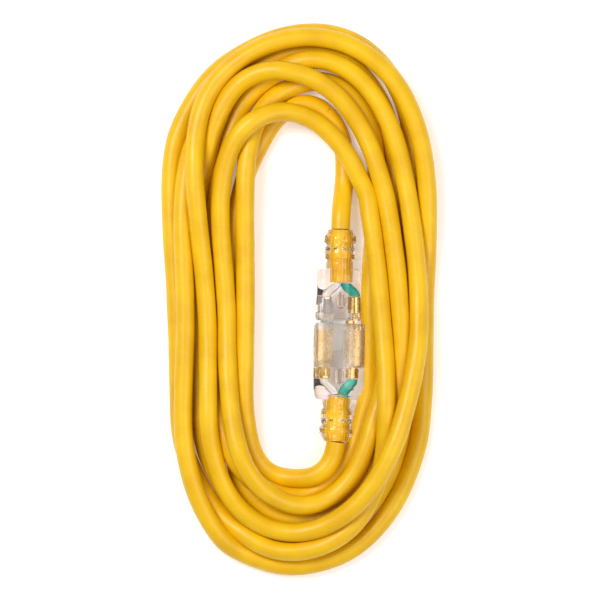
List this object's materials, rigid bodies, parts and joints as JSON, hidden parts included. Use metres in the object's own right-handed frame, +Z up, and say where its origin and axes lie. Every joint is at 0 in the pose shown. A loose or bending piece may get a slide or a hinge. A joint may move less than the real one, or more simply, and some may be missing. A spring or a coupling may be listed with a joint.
{
  "type": "extension cord",
  "caption": "Grounded outdoor extension cord wound in an oblong hank, with a clear moulded plug pushed into its clear connector.",
  "frame": {"origin": "on the floor plane, under the middle of the hank's bounding box", "axes": "+Z up from the surface the cord lies on, +Y along the hank towards the end where the plug's lead goes under the turns, +X across it towards the side the plug lies on"},
  "size_m": [0.1402, 0.2844, 0.029],
  "materials": {
    "cord_jacket": "golden yellow satin PVC",
    "clear_moulding": "clear glossy flexible PVC",
    "insulating_block": "translucent moulded plastic",
    "plated_blade": "nickel-plated brass",
    "brass_contact": "bright stamped brass",
    "copper_strands": "bare copper",
    "core_black": "black PVC insulation",
    "core_white": "white PVC insulation",
    "core_green": "green PVC insulation",
    "lamp_glass": "small neon lamp",
    "resistor_body": "coated resistor"
  },
  "bodies": {
    "cord": {"cord_hank": "cord_jacket", "plug_lead": "cord_jacket", "connector_lead": "cord_jacket", "connector_body": "clear_moulding", "connector_cord_end": "cord_jacket", "connector_insert": "insulating_block", "connector_contact_line": "brass_contact", "connector_contact_neutral": "brass_contact", "connector_contact_ground": "brass_contact", "connector_copper_black": "copper_strands", "connector_copper_white": "copper_strands", "connector_copper_green": "copper_strands", "connector_wire_black": "core_black", "connector_wire_white": "core_white", "connector_wire_green": "core_green", "connector_lamp": "lamp_glass", "connector_resistor": "resistor_body"},
    "plug": {"plug_body": "clear_moulding", "plug_bridge": "insulating_block", "plug_cord_end": "cord_jacket", "plug_blade_line": "plated_blade", "plug_blade_neutral": "plated_blade", "plug_ground_pin": "brass_contact", "plug_copper_black": "copper_strands", "plug_copper_white": "copper_strands", "plug_copper_green": "copper_strands", "plug_wire_black": "core_black", "plug_wire_white": "core_white", "plug_wire_green": "core_green", "plug_lamp": "lamp_glass", "plug_resistor": "resistor_body"}
  },
  "joints": [
    {"name": "plug_pull", "type": "slide", "parent": "cord", "child": "plug", "axis": [0.0223, 0.9998, 0], "range_m": [0, 0.02], "deforming": ["plug_lead"]}
  ]
}
